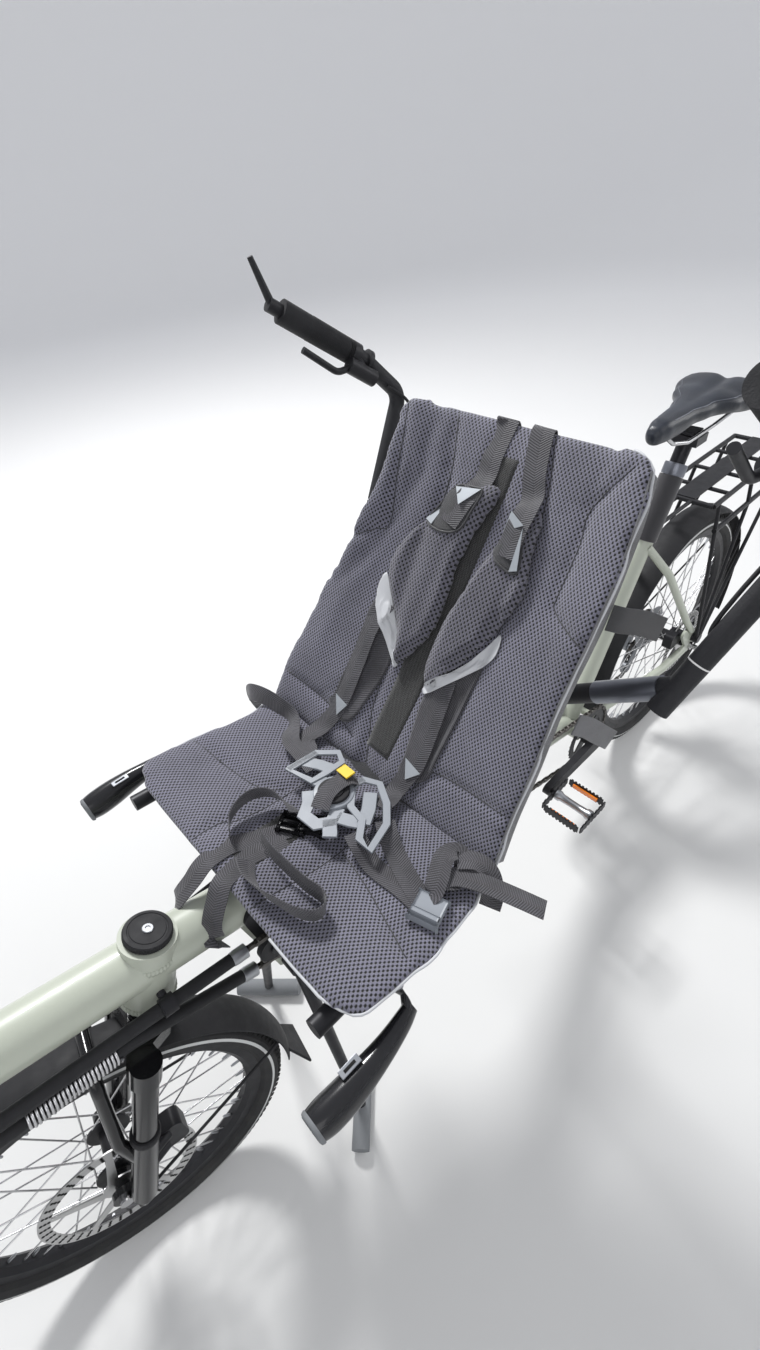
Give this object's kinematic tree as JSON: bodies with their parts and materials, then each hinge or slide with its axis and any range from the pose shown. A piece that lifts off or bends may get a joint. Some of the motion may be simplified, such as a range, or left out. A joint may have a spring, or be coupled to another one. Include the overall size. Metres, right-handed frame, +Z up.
{
  "type": "semi-recumbent tandem bicycle",
  "caption": "Tandem bicycle with a reclined mesh seat ahead, an upright saddle and wide steering bar behind, chain drive for both riders, rear rack and fold-down stand.",
  "frame": {"origin": "on the ground, at the middle of the outer box seen from above", "axes": "+X forward, along the ride; +Y to the riders left; +Z up"},
  "size_m": [2.192, 0.7412, 1.1642],
  "materials": {
    "frame_paint": "satin pale grey-green paint",
    "black_anodised": "black anodised",
    "guard_plastic": "matt black",
    "chain_steel": "oiled steel",
    "tube_plastic": "matt black",
    "bright_steel": "bright steel",
    "grey_metal": "grey anodised",
    "black_metal": "satin black",
    "seat_mesh": "dark grey spacer mesh",
    "black_plastic": "gloss black",
    "grey_plastic": "silver grey",
    "saddle_cover": "black cover with a slight sheen",
    "black_gloss": "gloss black",
    "tyre": "black rubber, pale side stripe",
    "bar_metal": "textured black",
    "sleeve_metal": "satin silver-grey",
    "grip_rubber": "black",
    "pedal_metal": "silver barrel, black cage",
    "grey_rubber": "grey"
  },
  "bodies": {
    "frame": {"main_tube": "frame_paint", "seat_tube": "frame_paint", "boom": "black_anodised", "chain_stays": "frame_paint", "seat_stays": "frame_paint", "rear_mudguard": "guard_plastic", "front_chain": "chain_steel", "rear_chain": "chain_steel", "chain_tubes": "tube_plastic", "tube_spring": "bright_steel", "chain_idler": "tube_plastic", "idler_bracket": "grey_metal", "rear_derailleur": "grey_metal", "rear_axle": "bright_steel", "rear_caliper": "black_metal", "seat_pan_pad": "seat_mesh", "seat_back_pad": "seat_mesh", "seat_frame": "black_metal", "side_handles": "black_plastic", "harness_pads": "seat_mesh", "harness_buckle": "grey_plastic", "seat_post": "black_anodised", "saddle_rails": "bright_steel", "saddle": "saddle_cover", "rack_platform": "black_metal", "rack_legs": "black_metal", "stand_bracket": "frame_paint"},
    "fork": {"fork_crown": "black_gloss", "fork_lowers": "black_gloss", "front_axle": "bright_steel", "head_cap": "black_plastic", "front_mudguard": "guard_plastic", "front_caliper": "black_metal"},
    "front_wheel": {"front_tyre": "tyre", "front_rim": "black_metal", "front_hub": "black_metal", "front_spokes": "bright_steel", "front_rotor": "bright_steel"},
    "rear_wheel": {"rear_tyre": "tyre", "rear_rim": "black_metal", "rear_hub": "black_metal", "rear_spokes": "bright_steel", "rear_rotor": "bright_steel", "cassette": "grey_metal"},
    "handlebar": {"steering_column": "black_metal", "handlebar_bar": "bar_metal", "bar_sleeves": "sleeve_metal", "grips": "grip_rubber", "control_levers": "black_metal"},
    "tie_rod": {"tie_rod": "black_metal"},
    "front_crank": {"front_crankset": "black_metal"},
    "rear_crank": {"rear_crankset": "black_metal"},
    "front_left_pedal": {"pedal_front_left": "pedal_metal"},
    "front_right_pedal": {"pedal_front_right": "pedal_metal"},
    "rear_left_pedal": {"pedal_rear_left": "pedal_metal"},
    "rear_right_pedal": {"pedal_rear_right": "pedal_metal"},
    "stand": {"stand_legs": "black_metal", "stand_feet": "grey_rubber"}
  },
  "joints": [
    {"name": "fork_steer", "type": "hinge", "parent": "frame", "child": "fork", "pos_m": [0.63874, 0.0223, 0.23521], "axis": [-0.3551, 0, 0.9348], "range_deg": [-10.5, 29.5]},
    {"name": "handlebar_steer", "type": "hinge", "parent": "frame", "child": "handlebar", "pos_m": [-0.071, 0.0223, 0.62113], "axis": [-0.3551, 0, 0.9348], "range_deg": [-10.5, 29.5]},
    {"name": "tie_rod_pivot", "type": "hinge", "parent": "fork", "child": "tie_rod", "pos_m": [0.49427, -0.05741, 0.5066], "axis": [-0.3551, 0, 0.9348], "range_deg": [-29.5, 10.5]},
    {"name": "front_wheel_spin", "type": "hinge", "parent": "fork", "child": "front_wheel", "pos_m": [0.67746, 0.01537, 0.24992], "axis": [0.1543, 0.9863, 0.0586], "continuous": true},
    {"name": "rear_wheel_spin", "type": "hinge", "parent": "frame", "child": "rear_wheel", "pos_m": [-0.78, 0.0223, 0.30013], "axis": [0, 1, 0], "continuous": true},
    {"name": "front_crank_spin", "type": "hinge", "parent": "frame", "child": "front_crank", "pos_m": [1.008, 0.0223, 0.72739], "axis": [0, 1, 0], "continuous": true},
    {"name": "rear_crank_spin", "type": "hinge", "parent": "frame", "child": "rear_crank", "pos_m": [-0.39, 0.0223, 0.28213], "axis": [0, 1, 0], "continuous": true},
    {"name": "front_left_pedal_spin", "type": "hinge", "parent": "front_crank", "child": "front_left_pedal", "pos_m": [1.052, 0.1513, 0.8916], "axis": [0, 1, 0], "continuous": true},
    {"name": "front_right_pedal_spin", "type": "hinge", "parent": "front_crank", "child": "front_right_pedal", "pos_m": [0.964, -0.1067, 0.56319], "axis": [0, 1, 0], "continuous": true},
    {"name": "rear_left_pedal_spin", "type": "hinge", "parent": "rear_crank", "child": "rear_left_pedal", "pos_m": [-0.22002, 0.1513, 0.27916], "axis": [0, 1, 0], "continuous": true},
    {"name": "rear_right_pedal_spin", "type": "hinge", "parent": "rear_crank", "child": "rear_right_pedal", "pos_m": [-0.55997, -0.1067, 0.28509], "axis": [0, 1, 0], "continuous": true},
    {"name": "stand_fold", "type": "hinge", "parent": "frame", "child": "stand", "pos_m": [0.36, 0.0223, 0.41013], "axis": [0, 1, 0], "range_deg": [0, 85]}
  ],
  "couplings": [
    {"joint": "handlebar_steer", "follows": "fork_steer", "ratio": 1},
    {"joint": "tie_rod_pivot", "follows": "fork_steer", "ratio": -1}
  ]
}
